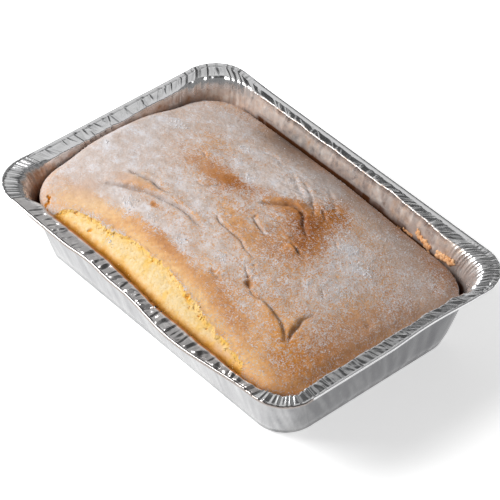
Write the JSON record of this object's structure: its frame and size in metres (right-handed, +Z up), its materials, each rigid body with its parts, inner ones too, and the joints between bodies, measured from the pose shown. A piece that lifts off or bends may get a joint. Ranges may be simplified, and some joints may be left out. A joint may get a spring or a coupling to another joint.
{
  "type": "sponge cake in foil tray",
  "caption": "Oblong domed sponge cake, dusted with fine sugar and split along one long side, in its own pressed foil baking tray with a curled rim.",
  "frame": {"origin": "centre of the bounding box's bottom face, on the underside of the tray", "axes": "+X along the tray's length, +Y across it away from the split side of the sponge, +Z up"},
  "size_m": [0.2156, 0.1524, 0.052],
  "materials": {
    "foil": "thin pressed foil, satin with creased bright pleats at the rim and corners",
    "sponge": "soft baked crust, tan to brown under a fine white sugar dusting, with open golden crumb along the split side"
  },
  "bodies": {
    "root": {"foil_tray": "foil", "sponge": "sponge"}
  },
  "joints": []
}
